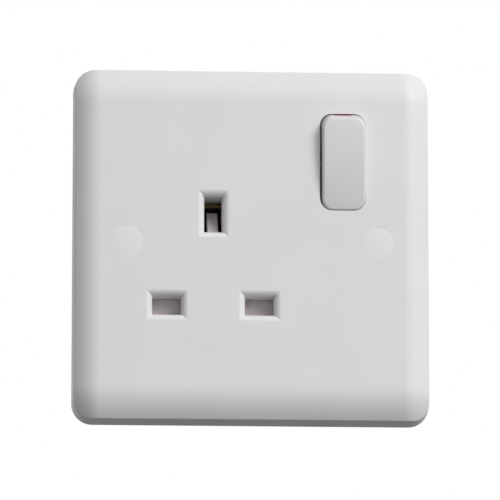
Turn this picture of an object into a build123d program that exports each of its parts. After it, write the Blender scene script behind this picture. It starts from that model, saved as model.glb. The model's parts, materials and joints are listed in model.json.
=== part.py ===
from build123d import *
import os
from math import cos, radians, sin

os.makedirs("parts", exist_ok=True)

# A single switched wall socket for flat three-pin plugs, as the pieces it is assembled from.
# Frame: x to the right, z up, the front faces -y. The origin is on the wall plane, midway
# between the fixing screws. A height is measured from the wall plane towards the viewer, so
# height h lies at y = -h, and a depth is measured back from the faceplate's flat front.
# The switch is drawn on. All sizes are in millimetres and all angles in degrees.

# Faceplate
PLATE_WIDTH = 86.0
PLATE_HEIGHT = 86.0
PLATE_RISE = 10.0
PLATE_CORNER = 5.0
SIDE_LEAN = 0.45
EDGE_DROP = 3.0
EDGE_RUN_X = 6.0
EDGE_RUN_Z = 7.8
EDGE_SPARE = 1.5
FRONT_ROOM = 6.0
RIDGE_RADIUS = 0.8
EDGE_PICK = 0.01
SIDE_WALL = 2.4
SKIN = 2.4
CAVITY_SHOULDER = 1.8
RIB_WALL = 1.4

# Fixing screws and their caps
FIXING_PITCH = 60.3
FIXING_R = 1.75
FIXING_NECK_R = 1.5
FIXING_LENGTH = 25.0
FIXING_HEAD_R = 3.45
FIXING_HEAD_HEIGHT = 2.2
FIXING_SEAT_DEPTH = 5.4
FIXING_HOLE_CLEARANCE = 0.25
SCREW_SLOT = 0.9
SCREW_HEAD_BEVEL = 0.6
PILLAR_WALL = 1.5
PILLAR_SETBACK = 0.3
CAP_R = 4.0
CAP_DEPTH = 1.6
CAP_CROWN = 0.14
CAP_EDGE_STAND = 0.06
CAP_EDGE_BEVEL = 0.12
CAP_SKIRT = 0.8
CAP_HOLLOW = 0.8
CAP_FIT = 0.03

# Plug pins and the slots for them
PIN_PITCH = 22.23
PIN_THICK = 4.0
PIN_BROAD = 6.35
EARTH_PIN_BROAD = 8.0
PIN_LENGTH = 17.7
EARTH_PIN_LENGTH = 22.73
SOCKET_X = -9.4
EARTH_Z = 7.0
SLOT_CLEARANCE_NARROW = 0.2
SLOT_CLEARANCE_BROAD = 0.32
SLOT_BEVEL = 1.4
SLOT_BEVEL_DEPTH = 1.5
SLOT_BEVEL_SWELL = (0.6, 0.32)
COLLAR_WALL = 1.2
EARTH_TUNNEL = 10.4

# Shutter
SHUTTER_DEPTH = 5.6
SHUTTER_THICK = 2.0
SHUTTER_COVER = 0.6
SHUTTER_END = 0.9
SHUTTER_STEM = 5.2
SHUTTER_TRAVEL = 5.6
WEDGE_WIDTH = 2.5
WEDGE_WALL = 2.2
WEDGE_LIFT = 2.6
SLIDE_GAP = 0.3
SPRING_R = 1.6
SPRING_WIRE = 0.4
SPRING_TURNS = 7
SPRING_LENGTH = 11.0
SPRING_SPIGOT = 2.0
SPRING_FIT = 0.3

# Rocker and its plunger
SWITCH_X = 21.7
SWITCH_Z = 19.9
ROCKER_TILT = 7.5
ROCKER_PIVOT_DEPTH = 4.0
ROCKER_WIDTH = 10.5
ROCKER_REACH = 12.25
ROCKER_CORNER = 2.6
ROCKER_CROWN = 2.3
ROCKER_END = 1.3
ROCKER_EDGE = 0.75
ROCKER_WALL = 1.4
ROCKER_SKIRT = 2.0
ROCKER_GAP = 0.25
TRUNNION_R = 1.2
TRUNNION_LENGTH = 2.3
TRUNNION_FIT = 0.08
CHEEK_GAP = 0.6
CHEEK_WALL = 2.2
CHEEK_SPAN = 6.0
TUBE_REACH = 6.0
TUBE_WALL = 0.95
PLUNGER_R = 1.5
PLUNGER_FIT = 0.08
PLUNGER_REACH = 11.0
PLUNGER_TAIL = 1.5
PLUNGER_NOSE = 1.2
PLUNGER_GAP = 0.1
PLUNGER_SPRING_R = 1.25
PLUNGER_SPRING_WIRE = 0.35
PLUNGER_SPRING_TURNS = 5
SPRING_SEAT_GAP = 0.05

# Contact strips and rivets
STRIP_THICK = 0.7
STRIP_WIDTH = 4.2
LINE_STRIP_WIDTH = 5.0
LINE_STRIP_SHIFT = 2.0
PIN_TIP_GAP = 1.9
GRIP_WIDTH = 6.0
GRIP_SQUEEZE = 0.1
GRIP_HEEL = 0.4
GRIP_FLARE = 1.05
GRIP_BEND = 0.5
LIP_DEPTH = 10.6
PINCH_DEPTH = 13.4
HEEL_RISE = 2.45
EARTH_LIP_DEPTH = 11.6
EARTH_PINCH_DEPTH = 14.5
EARTH_HEEL_RISE = 1.1
EARTH_TAIL_DROP = 1.2
EARTH_LEAF_WIDTH = 7.2
EARTH_SPINE_GAP = 0.5
BLADE_THICK = 0.8
BLADE_WIDTH = 5.0
BLADE_LENGTH = 21.0
BLADE_END = 2.0
EAR_R = 0.9
EAR_FIT = 0.06
EAR_CLEAR = 1.8
BRACKET_GAP = 0.4
BRACKET_SPAN = 4.6
BRACKET_LIP = 0.7
RIVET_R = 1.7
RIVET_TAIL_R = 0.8
RIVET_HEAD = 1.0
RIVET_BEVEL = 0.6
RIVET_FIT = 0.02
RIVET_PLACE = 8.6
CONTACT_GAP = 0.3

# Terminals
TERMINAL_WIDTH = 7.5
TERMINAL_LENGTH = 8.0
TERMINAL_WALL = 1.7
LINE_TERMINAL_X = 4.0
WIRE_R = 2.3
WIRE_RISE = 4.1
STRIP_SOCKET = 1.5
STRIP_FIT = 0.02
CLAMP_R = 1.95
CLAMP_FIT = 0.05
CLAMP_HEAD_R = 2.6
CLAMP_HEAD_HEIGHT = 1.6
CLAMP_LENGTH = 5.2
CLAMP_BACK = 0.2

# Base and its screws
BASE_DEPTH = 18.5
BASE_WALL = 1.6
BASE_SKIN = 2.0
BASE_SOCKET_SIDE = 9.5
BASE_SWITCH_SIDE = 8.3
BASE_FOOT = 7.3
BASE_HEAD = 14.3
BASE_CORNER = 2.5
BASE_REAR_EDGE = 0.8
LUG_NOTCH = 13.0
LUG_NOTCH_GAP = 0.6
NOTCH_ROUND = 0.45
POCKET_GAP = 0.3
WELL_GAP = 0.7
GRIP_ROOM = 0.6
WIRE_ENTRY_GAP = 0.5
CLAMP_ACCESS_GAP = 0.6
POST_WIDTH = 2.0
BASE_SCREW_R = 1.45
BASE_SCREW_HEAD_R = 2.7
BASE_SCREW_HEAD_HEIGHT = 1.9
BASE_SCREW_BITE = 4.4
BASE_SCREW_SEAT = 3.0
BASE_SCREW_GAP = 0.15
BASE_SCREW_FIT = 0.05
BASE_BOSS_WALL = 1.1
BASE_SCREW_RIGHT_X = 10.4
BASE_SCREW_LEFT_X = -15.3
BASE_SCREW_RIGHT_Z = (21.0, -8.0)
BASE_SCREW_LEFT_Z = (15.5, -6.0)

# Places worked out from the sizes above
SIDE_HEIGHT = PLATE_RISE - EDGE_DROP
SKIN_REAR = PLATE_RISE - SKIN
FIXING_SEAT = PLATE_RISE - FIXING_SEAT_DEPTH
NEUTRAL_X = SOCKET_X - PIN_PITCH / 2
LINE_X = SOCKET_X + PIN_PITCH / 2
LINE_Z = EARTH_Z - PIN_PITCH
SLOT_NARROW = PIN_THICK + 2 * SLOT_CLEARANCE_NARROW
SLOT_BROAD = PIN_BROAD + 2 * SLOT_CLEARANCE_BROAD
EARTH_SLOT = EARTH_PIN_BROAD + 2 * SLOT_CLEARANCE_BROAD
SHUTTER_FRONT = PLATE_RISE - SHUTTER_DEPTH
SHUTTER_REAR = SHUTTER_FRONT - SHUTTER_THICK
COLLAR_END = SHUTTER_FRONT + SLIDE_GAP
BASE_FRONT = SHUTTER_REAR - SLIDE_GAP
BASE_REAR = BASE_FRONT - BASE_DEPTH
BASE_LEFT = NEUTRAL_X - BASE_SOCKET_SIDE
BASE_RIGHT = SWITCH_X + BASE_SWITCH_SIDE
BASE_BOTTOM = LINE_Z - BASE_FOOT
BASE_TOP = SWITCH_Z + BASE_HEAD
BAR_TOP = LINE_Z + SLOT_NARROW / 2 + SHUTTER_COVER
BAR_BOTTOM = LINE_Z - SLOT_NARROW / 2 - SHUTTER_COVER
BAR_LEFT = NEUTRAL_X - SLOT_BROAD / 2 - SHUTTER_END
BAR_RIGHT = LINE_X + SLOT_BROAD / 2 + SHUTTER_END
RAMP_Z = EARTH_Z - EARTH_PIN_BROAD / 2
RAMP_FRONT = SHUTTER_FRONT + WEDGE_LIFT
RAMP_END = RAMP_FRONT - SHUTTER_TRAVEL
SPRING_BOSS = SPRING_R + SPRING_WIRE / 2 + SPRING_FIT
SPRING_HEIGHT = SHUTTER_REAR + SPRING_BOSS + SLIDE_GAP
SPRING_SEAT_Z = BAR_BOTTOM - SPRING_LENGTH
PIVOT = PLATE_RISE - ROCKER_PIVOT_DEPTH
FULCRUM = PIVOT - PLUNGER_REACH - PLUNGER_GAP - BLADE_THICK / 2
TUBE_BORE = PLUNGER_R + PLUNGER_FIT
STRIP_FRONT = PLATE_RISE - PIN_LENGTH - PIN_TIP_GAP
STRIP_REAR = STRIP_FRONT - STRIP_THICK
EARTH_HEEL = STRIP_FRONT + EARTH_HEEL_RISE
EARTH_TAIL = STRIP_REAR - EARTH_TAIL_DROP
EARTH_FLOOR = min(PLATE_RISE - EARTH_PIN_LENGTH, EARTH_TAIL) - POCKET_GAP
EARTH_TOP = EARTH_Z + EARTH_SLOT / 2
WIRE_HEIGHT = STRIP_FRONT + WIRE_RISE
TERMINAL_FRONT = WIRE_HEIGHT + WIRE_R + TERMINAL_WALL
TERMINAL_REAR = STRIP_REAR - TERMINAL_WALL
TERMINAL_TOP = BASE_TOP - BASE_WALL - POCKET_GAP
TERMINAL_BOTTOM = TERMINAL_TOP - TERMINAL_LENGTH
TERMINAL_Z = TERMINAL_TOP - TERMINAL_LENGTH / 2
TERMINALS = {"neutral": NEUTRAL_X, "earth": SOCKET_X, "line": LINE_TERMINAL_X}
LINE_STRIP_X = SWITCH_X - LINE_STRIP_SHIFT
SWITCH_ROOM = ROCKER_WIDTH / 2 + CHEEK_GAP
BASE_SCREWS = [(BASE_SCREW_RIGHT_X, z) for z in BASE_SCREW_RIGHT_Z]
BASE_SCREWS += [(BASE_SCREW_LEFT_X, z) for z in BASE_SCREW_LEFT_Z]
FIXINGS = {"left": -FIXING_PITCH / 2, "right": FIXING_PITCH / 2}
PILLAR_R = FIXING_HEAD_R + FIXING_HOLE_CLEARANCE + PILLAR_WALL

TILT_COS = cos(radians(ROCKER_TILT))
TILT_SIN = sin(radians(ROCKER_TILT))
PIVOT_POINT = Vector(SWITCH_X, -PIVOT, SWITCH_Z)
PIVOT_AXIS = Axis(PIVOT_POINT, (1, 0, 0))
OUTWARD = Vector(0, -TILT_COS, -TILT_SIN)
ROCKER_FACE = Plane(origin=PIVOT_POINT, x_dir=(1, 0, 0), z_dir=OUTWARD)
ROCKER_SIDE = Plane(origin=PIVOT_POINT, x_dir=OUTWARD, z_dir=(-1, 0, 0))
FULCRUM_POINT = Vector(SWITCH_X, -FULCRUM, SWITCH_Z)
BLADE_FACE = Plane(origin=FULCRUM_POINT, x_dir=(1, 0, 0), z_dir=(0, -TILT_COS, TILT_SIN))
RIVET_TIP = BLADE_FACE.from_local_coords(
    Vector(0, RIVET_PLACE, -BLADE_THICK / 2 - RIVET_HEAD)
)


def front(height):
    """Plane seen from the front at a height: local x is x, local y is z."""
    return Plane.XZ.offset(height)


def across(x):
    """Upright plane facing left at x: local x is the height, local y is z."""
    return Plane(origin=(x, 0, 0), x_dir=(0, -1, 0), z_dir=(-1, 0, 0))


def level(z):
    """Level plane facing down at z: local x is x, local y is the height."""
    return Plane(origin=(0, 0, z), x_dir=(1, 0, 0), z_dir=(0, 0, -1))


def prism(x_span, z_span, low, high, mode=Mode.ADD):
    """Straight prism on a rectangle given by its spans, between two heights."""
    with BuildSketch(front(low)) as outline:
        with Locations((sum(x_span) / 2, sum(z_span) / 2)):
            Rectangle(x_span[1] - x_span[0], z_span[1] - z_span[0])
    extrude(outline.sketch, amount=high - low, mode=mode)


def about(centre, half):
    """Span of a given half width about a centre."""
    return (centre - half, centre + half)


def round_column(places, radius, low, high, mode=Mode.ADD):
    """Round columns or holes at several places between two heights."""
    with BuildSketch(front(low)) as outline:
        with Locations(*places):
            Circle(radius)
    extrude(outline.sketch, amount=high - low, mode=mode)


def front_line(size, run):
    """Section of the front across a size: flat, then a parabola that falls at each end.

    The parabolas run on past the edge by EDGE_SPARE. Gives the last point's place and its fall.
    """
    flat = size / 2 - SIDE_LEAN - run
    last = flat + run + EDGE_SPARE
    bend = (flat + last) / 2
    fall = EDGE_DROP * ((run + EDGE_SPARE) / run) ** 2
    Bezier((-last, -fall), (-bend, 0), (-flat, 0))
    Line((-flat, 0), (flat, 0))
    Bezier((flat, 0), (bend, 0), (last, -fall))
    return last, fall


def pivot_disc(radius, width, corner):
    """Disc turned about the rocker's pivot, with rounded rims."""
    with BuildPart() as disc:
        with BuildSketch(Plane(origin=PIVOT_POINT, x_dir=(1, 0, 0), z_dir=(0, -1, 0))) as half:
            Rectangle(width, radius, align=(Align.CENTER, Align.MIN))
            fillet(half.vertices().group_by(Axis.Y)[-1], corner)
        revolve(axis=PIVOT_AXIS)
    return disc.part


def rocker_profile(crown, end, skirt):
    """Side view of the rocker seen along its pivot: a bowed front over a straight skirt."""
    half = ROCKER_REACH
    with BuildSketch(ROCKER_SIDE) as outline:
        with BuildLine():
            ThreePointArc((end, -half), (crown, 0), (end, half))
            Polyline((end, half), (-skirt, half), (-skirt, -half), (end, -half))
        make_face()
    return outline.sketch


def coil(radius, wire, turns, start, direction, length):
    """Compression spring with six-sided wire, between two seats."""
    rise = length - wire - 2 * SPRING_SEAT_GAP
    foot = Vector(start) + Vector(direction).normalized() * (wire / 2 + SPRING_SEAT_GAP)
    with BuildPart() as spring:
        with BuildLine() as path:
            Helix(rise / turns, rise, radius, center=foot, direction=direction)
        with BuildSketch(Plane(origin=path.line @ 0, z_dir=path.line % 0)):
            RegularPolygon(wire / 2, 6)
        sweep(is_frenet=True)
    return spring.part


def pin_grip(x, z):
    """Folded clip for a flat pin: a web with two sprung leaves and flared lips."""
    web = STRIP_FRONT - STRIP_THICK / 2
    pinch = PIN_THICK / 2 - GRIP_SQUEEZE + STRIP_THICK / 2
    leaf = [
        (PLATE_RISE - LIP_DEPTH, pinch + GRIP_FLARE),
        (PLATE_RISE - PINCH_DEPTH, pinch),
        (web + HEEL_RISE, pinch + GRIP_HEEL),
        (web, pinch + GRIP_HEEL),
    ]
    upper = [(height, z + reach) for height, reach in leaf]
    lower = [(height, z - reach) for height, reach in reversed(leaf)]
    with BuildSketch(across(x)) as fold:
        with BuildLine():
            FilletPolyline(*upper, *lower, radius=GRIP_BEND)
        trace(line_width=STRIP_THICK)
    extrude(fold.sketch, amount=GRIP_WIDTH / 2, both=True)


def screw(tip, head, length, shank_r, head_r, head_height, x, z, neck=None):
    """Slotted screw along the height axis, with its head on the side that head's sign gives.

    A neck is given as its radius and length, and is a plain stretch under the head.
    """
    seat = tip + head * length
    top = seat + head * head_height
    groove = seat + head * head_height / 2
    shank = [(x + shank_r, seat)]
    if neck:
        neck_r, neck_end = neck[0], seat - head * neck[1]
        shank = [(x + shank_r, neck_end), (x + neck_r, neck_end), (x + neck_r, seat)]
    with BuildSketch(level(z)) as half:
        with BuildLine():
            Polyline(
                (x, top), (x, tip), (x + shank_r / 2, tip), (x + shank_r, tip + head * shank_r),
                *shank, (x + head_r, seat), (x + head_r, groove),
                (x + head_r - SCREW_HEAD_BEVEL, top), close=True,
            )
        make_face()
    revolve(half.sketch, axis=Axis((x, 0, z), (0, 1, 0)))
    prism(about(x, SCREW_SLOT / 2), about(z, head_r), groove, top, Mode.SUBTRACT)


# The rocker's opening and hollow are discs about the same pivot
opening = pivot_disc(
    ROCKER_REACH + ROCKER_GAP, ROCKER_WIDTH + 2 * ROCKER_GAP, ROCKER_CORNER + ROCKER_GAP
)
rim = pivot_disc(ROCKER_REACH, ROCKER_WIDTH, ROCKER_CORNER)
hollow_rim = pivot_disc(
    ROCKER_REACH - ROCKER_WALL, ROCKER_WIDTH - 2 * ROCKER_WALL, ROCKER_CORNER - ROCKER_WALL
)

# The space in front of the cushioned face: its section across, carried along its section up
with BuildPart() as front_room:
    with BuildLine(Plane(origin=(0, -PLATE_RISE, 0), x_dir=(0, 0, 1), z_dir=(1, 0, 0))) as upright:
        front_line(PLATE_HEIGHT, EDGE_RUN_Z)
    spine = upright.wire()
    with BuildSketch(Plane(origin=spine @ 0, x_dir=(1, 0, 0), z_dir=-(spine % 0))):
        with BuildLine():
            last, fall = front_line(PLATE_WIDTH, EDGE_RUN_X)
            Polyline((last, -fall), (last, FRONT_ROOM), (-last, FRONT_ROOM), (-last, -fall))
        make_face()
    sweep()

# Faceplate: drafted side walls under a flat front that falls in a cushion towards every edge
with BuildPart() as faceplate:
    draft = SIDE_LEAN / SIDE_HEIGHT
    for height in (0, PLATE_RISE):
        with BuildSketch(front(height)):
            RectangleRounded(
                PLATE_WIDTH - 2 * draft * height, PLATE_HEIGHT - 2 * draft * height,
                PLATE_CORNER - draft * height,
            )
    loft(ruled=True)
    add(front_room.part, mode=Mode.SUBTRACT)
    walls = faceplate.faces().filter_by(lambda face: abs(face.normal_at().Y) <= draft)
    ridge = walls.edges().filter_by(lambda edge: edge.bounding_box().max.Y < -EDGE_PICK)
    fillet(ridge, RIDGE_RADIUS)

    # hollow behind the skin
    shoulder = SIDE_HEIGHT - CAVITY_SHOULDER
    for height, inset_x, inset_z in (
        (0, SIDE_WALL, SIDE_WALL),
        (shoulder, SIDE_WALL + SIDE_LEAN, SIDE_WALL + SIDE_LEAN),
        (SKIN_REAR, SIDE_LEAN + EDGE_RUN_X, SIDE_LEAN + EDGE_RUN_Z),
    ):
        with BuildSketch(front(height)):
            RectangleRounded(
                PLATE_WIDTH - 2 * inset_x, PLATE_HEIGHT - 2 * inset_z, PLATE_CORNER - SIDE_WALL
            )
    loft(ruled=True, mode=Mode.SUBTRACT)

    # collars behind the slots, the earth one running on as a tunnel above the shutter's ramp
    slots = (
        (NEUTRAL_X, LINE_Z, SLOT_BROAD, SLOT_NARROW),
        (LINE_X, LINE_Z, SLOT_BROAD, SLOT_NARROW),
        (SOCKET_X, EARTH_Z, SLOT_NARROW, EARTH_SLOT),
    )
    for x, z, width, height in slots:
        prism(
            about(x, width / 2 + COLLAR_WALL), about(z, height / 2 + COLLAR_WALL), COLLAR_END, SKIN_REAR
        )
    tunnel = about(SOCKET_X, SLOT_NARROW / 2 + COLLAR_WALL)
    prism(tunnel, (RAMP_Z + SLIDE_GAP, EARTH_TOP + COLLAR_WALL), SHUTTER_REAR, COLLAR_END)
    prism(tunnel, (EARTH_TOP, EARTH_TOP + COLLAR_WALL), PLATE_RISE - EARTH_TUNNEL, COLLAR_END)

    # guides beside the shutter's stem and the seat of its spring
    for side in (-1, 1):
        guide = SOCKET_X + side * (SHUTTER_STEM / 2 + SLIDE_GAP + RIB_WALL / 2)
        guide_z = (BAR_TOP + SLIDE_GAP, RAMP_Z - SLIDE_GAP)
        prism(about(guide, RIB_WALL / 2), guide_z, SHUTTER_REAR, SKIN_REAR)
    seat_z = (SPRING_SEAT_Z - RIB_WALL, SPRING_SEAT_Z)
    prism(about(SOCKET_X, SPRING_BOSS), seat_z, SHUTTER_REAR, SKIN_REAR)
    with BuildSketch(level(SPRING_SEAT_Z)):
        with Locations((SOCKET_X, SPRING_HEIGHT)):
            Circle(SPRING_R - SPRING_WIRE / 2 - SPRING_FIT)
    extrude(amount=-SPRING_SPIGOT)

    # cheeks that carry the rocker's trunnions, their notches open to the rear
    for side in (-1, 1):
        cheek = SWITCH_X + side * (SWITCH_ROOM + CHEEK_WALL / 2)
        prism(
            about(cheek, CHEEK_WALL / 2), about(SWITCH_Z, CHEEK_SPAN / 2), PIVOT - TRUNNION_R, SKIN_REAR
        )
    with BuildSketch(across(SWITCH_X)):
        with Locations((PIVOT, SWITCH_Z)):
            Circle(TRUNNION_R + TRUNNION_FIT)
            Rectangle(
                2 * TRUNNION_R, 2 * (TRUNNION_R + TRUNNION_FIT), align=(Align.MAX, Align.CENTER)
            )
    extrude(amount=SWITCH_ROOM + CHEEK_WALL, both=True, mode=Mode.SUBTRACT)
    add(opening, mode=Mode.SUBTRACT)

    # bosses for the base's screws and pillars for the fixing screws
    round_column(BASE_SCREWS, BASE_SCREW_R + BASE_SCREW_GAP + BASE_BOSS_WALL, BASE_FRONT, SKIN_REAR)
    round_column(
        BASE_SCREWS, BASE_SCREW_R + BASE_SCREW_FIT,
        BASE_FRONT, BASE_FRONT + BASE_SCREW_BITE + SLIDE_GAP, Mode.SUBTRACT,
    )
    fixing_places = [(x, 0) for x in FIXINGS.values()]
    round_column(fixing_places, PILLAR_R, PILLAR_SETBACK, SKIN_REAR)
    round_column(
        fixing_places, FIXING_R + FIXING_HOLE_CLEARANCE, PILLAR_SETBACK, PLATE_RISE, Mode.SUBTRACT
    )
    round_column(
        fixing_places, FIXING_HEAD_R + FIXING_HOLE_CLEARANCE, FIXING_SEAT, PLATE_RISE, Mode.SUBTRACT
    )
    round_column(fixing_places, CAP_R + CAP_FIT, PLATE_RISE - CAP_DEPTH, PLATE_RISE, Mode.SUBTRACT)

    # the slots, each with a mouth that swells out to a rounded bevel
    for x, z, width, height in slots:
        prism(about(x, width / 2), about(z, height / 2), COLLAR_END, PLATE_RISE, Mode.SUBTRACT)
        for inset, drop in ((0, 0), SLOT_BEVEL_SWELL, (1, 1)):
            flare = 2 * SLOT_BEVEL * (1 - inset)
            with BuildSketch(front(PLATE_RISE - SLOT_BEVEL_DEPTH * drop)):
                with Locations((x, z)):
                    Rectangle(width + flare, height + flare)
        loft(mode=Mode.SUBTRACT)
    prism(
        about(SOCKET_X, SLOT_NARROW / 2), (RAMP_Z, EARTH_TOP), SHUTTER_REAR, COLLAR_END, Mode.SUBTRACT
    )
    # the notch under the earth slot that the shutter's ramp moves down through
    notch_z = (EARTH_Z - EARTH_SLOT / 2 - COLLAR_WALL, RAMP_Z)
    prism(
        about(SOCKET_X, WEDGE_WIDTH / 2 + SLIDE_GAP), notch_z, COLLAR_END, SKIN_REAR, Mode.SUBTRACT
    )
faceplate.part.label = "faceplate"
export_step(faceplate.part, "parts/faceplate.step")

# Screw caps: shallow domed covers with a skirt that presses into the faceplate
for name, x in FIXINGS.items():
    cap_foot = PLATE_RISE - CAP_DEPTH
    cap_edge = PLATE_RISE + CAP_EDGE_STAND
    with BuildPart() as screw_cap:
        with BuildSketch(level(0)) as half:
            with BuildLine():
                Polyline(
                    (x, cap_foot + CAP_HOLLOW), (x + CAP_R - CAP_SKIRT, cap_foot + CAP_HOLLOW),
                    (x + CAP_R - CAP_SKIRT, cap_foot), (x + CAP_R, cap_foot), (x + CAP_R, cap_edge),
                )
                TangentArc((x, PLATE_RISE + CAP_CROWN), (x + CAP_R, cap_edge), tangent=(1, 0))
                Line((x, PLATE_RISE + CAP_CROWN), (x, cap_foot + CAP_HOLLOW))
            make_face()
        revolve(axis=Axis((x, 0, 0), (0, 1, 0)))
        rims = screw_cap.edges().filter_by(lambda edge: edge.is_closed)
        chamfer(rims.sort_by(Axis.Y)[0], CAP_EDGE_BEVEL)
    screw_cap.part.label = f"screw_cap_{name}"
    export_step(screw_cap.part, f"parts/screw_cap_{name}.step")

# Fixing screws: slotted pan heads seated in the pillars, a plain neck as far as the wall plane
# and a threaded shank that reaches back into the wall box
with BuildPart() as fixing_screws:
    for x in FIXINGS.values():
        screw(
            FIXING_SEAT - FIXING_LENGTH, 1, FIXING_LENGTH,
            FIXING_R, FIXING_HEAD_R, FIXING_HEAD_HEIGHT, x, 0, neck=(FIXING_NECK_R, FIXING_SEAT),
        )
fixing_screws.part.label = "fixing_screws"
export_step(fixing_screws.part, "parts/fixing_screws.step")

# Rocker: a hollow cap whose ends are struck about the pivot, with trunnions and a plunger tube
crown = ROCKER_PIVOT_DEPTH + ROCKER_CROWN
end = ROCKER_PIVOT_DEPTH + ROCKER_END
tube_top = crown - ROCKER_WALL
with BuildPart() as rocker_hollow:
    add(hollow_rim)
    extrude(
        rocker_profile(crown - ROCKER_WALL, end - ROCKER_WALL, ROCKER_REACH),
        amount=ROCKER_WIDTH, both=True, mode=Mode.INTERSECT,
    )
with BuildPart() as rocker:
    add(rim)
    extrude(
        rocker_profile(crown, end, ROCKER_SKIRT),
        amount=ROCKER_WIDTH, both=True, mode=Mode.INTERSECT,
    )
    bowed = rocker.faces().sort_by(Axis(PIVOT_POINT, OUTWARD))[-1]
    fillet(bowed.edges(), ROCKER_EDGE)
    add(rocker_hollow.part, mode=Mode.SUBTRACT)
    # a web across the pivot ties the trunnions to the tube
    with BuildSketch(ROCKER_SIDE):
        Rectangle(tube_top + TRUNNION_R, 2 * TRUNNION_R, align=(Align.MIN, Align.CENTER))
    extrude(amount=ROCKER_WIDTH / 2 - ROCKER_WALL / 2, both=True)
    with BuildSketch(ROCKER_SIDE):
        Circle(TRUNNION_R)
    extrude(amount=ROCKER_WIDTH / 2 + TRUNNION_LENGTH, both=True)
    with BuildSketch(ROCKER_FACE.offset(-TUBE_REACH)):
        Circle(TUBE_BORE + TUBE_WALL)
    extrude(amount=TUBE_REACH + tube_top)
    with BuildSketch(ROCKER_FACE.offset(-TUBE_REACH)):
        Circle(TUBE_BORE)
    extrude(amount=TUBE_REACH + tube_top - ROCKER_WALL / 2, mode=Mode.SUBTRACT)
rocker.part.label = "rocker"
export_step(rocker.part, "parts/rocker.step")

# Plunger: a pin with a rounded nose, sliding in the rocker's tube
with BuildPart() as plunger:
    with BuildSketch(ROCKER_FACE.offset(-PLUNGER_TAIL)):
        Circle(PLUNGER_R)
    extrude(amount=PLUNGER_TAIL - PLUNGER_REACH)
    nose = plunger.edges().filter_by(GeomType.CIRCLE).sort_by(Axis.Y)[-1]
    fillet(nose, PLUNGER_NOSE)
plunger.part.label = "plunger"
export_step(plunger.part, "parts/plunger.step")

plunger_spring = coil(
    PLUNGER_SPRING_R, PLUNGER_SPRING_WIRE, PLUNGER_SPRING_TURNS,
    PIVOT_POINT - OUTWARD * PLUNGER_TAIL, OUTWARD, PLUNGER_TAIL + tube_top - ROCKER_WALL / 2,
)
plunger_spring.label = "plunger_spring"
export_step(plunger_spring, "parts/plunger_spring.step")

# Shutter: a bar behind the line and neutral slots, a guided stem and the earth pin's ramp
with BuildPart() as shutter:
    prism((BAR_LEFT, BAR_RIGHT), (BAR_BOTTOM, BAR_TOP), SHUTTER_REAR, SHUTTER_FRONT)
    prism(about(SOCKET_X, SHUTTER_STEM / 2), (BAR_BOTTOM, RAMP_Z), SHUTTER_REAR, SHUTTER_FRONT)
    with BuildSketch(across(SOCKET_X)):
        with BuildLine():
            Polyline(
                (RAMP_FRONT, RAMP_Z),
                (RAMP_END, RAMP_Z + SHUTTER_TRAVEL),
                (RAMP_END, RAMP_Z + SHUTTER_TRAVEL - WEDGE_WALL),
                (SHUTTER_REAR, RAMP_Z - WEDGE_WALL / 2),
                (RAMP_FRONT, RAMP_Z - WEDGE_WALL / 2),
                close=True,
            )
        make_face()
    extrude(amount=WEDGE_WIDTH / 2, both=True)
    prism(
        about(SOCKET_X, SPRING_BOSS), (BAR_BOTTOM, BAR_BOTTOM + RIB_WALL),
        SHUTTER_REAR, SPRING_HEIGHT + SPRING_BOSS,
    )
    with BuildSketch(level(BAR_BOTTOM)):
        with Locations((SOCKET_X, SPRING_HEIGHT)):
            Circle(SPRING_R - SPRING_WIRE / 2 - SPRING_FIT)
    extrude(amount=SPRING_SPIGOT)
shutter.part.label = "shutter"
export_step(shutter.part, "parts/shutter.step")

shutter_spring = coil(
    SPRING_R, SPRING_WIRE, SPRING_TURNS,
    (SOCKET_X, -SPRING_HEIGHT, SPRING_SEAT_Z), (0, 0, 1), SPRING_LENGTH,
)
shutter_spring.label = "shutter_spring"
export_step(shutter_spring, "parts/shutter_spring.step")

# Base: one dark moulding, pocketed from the front for the metal parts and cored from the rear
grip_half = PIN_THICK / 2 + STRIP_THICK + GRIP_FLARE + GRIP_ROOM
strip_half = STRIP_WIDTH / 2 + POCKET_GAP
line_strip_half = LINE_STRIP_WIDTH / 2 + POCKET_GAP
terminal_half = TERMINAL_WIDTH / 2 + POCKET_GAP
well_half = GRIP_WIDTH / 2 + WELL_GAP
well_x = {"neutral": about(NEUTRAL_X, well_half), "line": about(LINE_X, well_half)}
well_z = about(LINE_Z, grip_half)
earth_x = about(SOCKET_X, grip_half)
earth_z = (RAMP_Z - WELL_GAP, EARTH_TOP + COLLAR_WALL + POCKET_GAP)
pocket_z = (TERMINAL_BOTTOM - POCKET_GAP, TERMINAL_TOP + POCKET_GAP)
switch_x = about(SWITCH_X, SWITCH_ROOM)
switch_z = (SWITCH_Z - ROCKER_REACH - WELL_GAP, BASE_TOP - BASE_WALL)
column_half = BASE_SCREW_HEAD_R + BASE_SCREW_GAP + POCKET_GAP
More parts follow.
